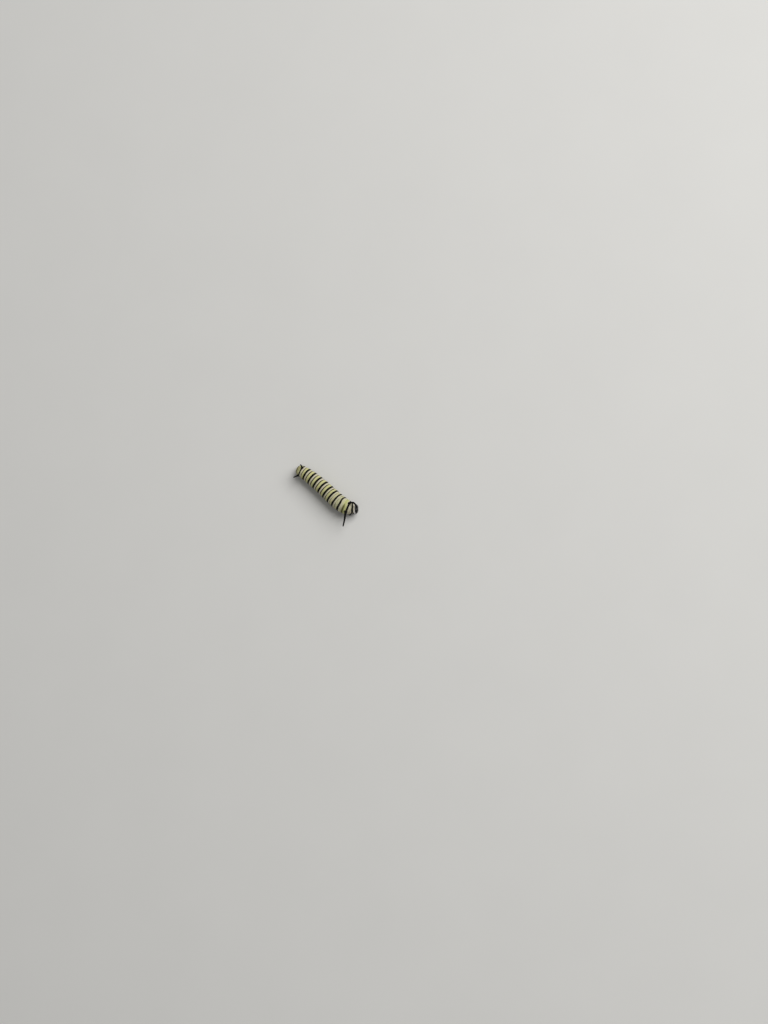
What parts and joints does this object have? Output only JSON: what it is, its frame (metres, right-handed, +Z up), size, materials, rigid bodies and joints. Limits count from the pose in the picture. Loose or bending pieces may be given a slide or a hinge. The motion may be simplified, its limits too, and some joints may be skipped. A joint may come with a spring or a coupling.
{
  "type": "monarch butterfly larva",
  "caption": "Banded butterfly larva, head tucked and turned to its left, with black filaments at both ends, standing on its false legs.",
  "frame": {"origin": "on the floor, under the middle of the outline's box", "axes": "+X toward the head, +Y toward the larva's left, +Z up"},
  "size_m": [0.012, 0.004, 0.0029],
  "materials": {
    "banded_skin": "soft satin skin, pale yellow and pinkish white with black bands",
    "dark_soft_skin": "soft black skin with a low sheen",
    "black_cuticle": "hard polished black shell",
    "pale_mouth": "pale cream soft shell",
    "eye_lens": "glassy black lenses"
  },
  "bodies": {
    "root": {"anal_segment": "banded_skin", "abdomen_8": "banded_skin", "abdomen_7": "banded_skin", "abdomen_6": "banded_skin", "abdomen_5": "banded_skin", "abdomen_4": "banded_skin", "abdomen_3": "banded_skin", "abdomen_2": "banded_skin", "abdomen_1": "banded_skin", "metathorax": "banded_skin", "mesothorax": "banded_skin", "prothorax": "banded_skin", "filament_front_left": "dark_soft_skin", "filament_front_right": "dark_soft_skin", "filament_rear_left": "dark_soft_skin", "filament_rear_right": "dark_soft_skin", "leg_front_left": "black_cuticle", "leg_front_right": "black_cuticle", "leg_middle_left": "black_cuticle", "leg_middle_right": "black_cuticle", "leg_rear_left": "black_cuticle", "leg_rear_right": "black_cuticle", "proleg_3_left": "dark_soft_skin", "proleg_3_right": "dark_soft_skin", "proleg_4_left": "dark_soft_skin", "proleg_4_right": "dark_soft_skin", "proleg_5_left": "dark_soft_skin", "proleg_5_right": "dark_soft_skin", "proleg_6_left": "dark_soft_skin", "proleg_6_right": "dark_soft_skin", "clasper_left": "dark_soft_skin", "clasper_right": "dark_soft_skin", "head_capsule": "black_cuticle", "eyes_left": "eye_lens", "eyes_right": "eye_lens", "labrum": "pale_mouth", "labium": "pale_mouth", "mandible_left": "black_cuticle", "mandible_right": "black_cuticle", "antenna_left": "black_cuticle", "antenna_right": "black_cuticle"}
  },
  "joints": []
}
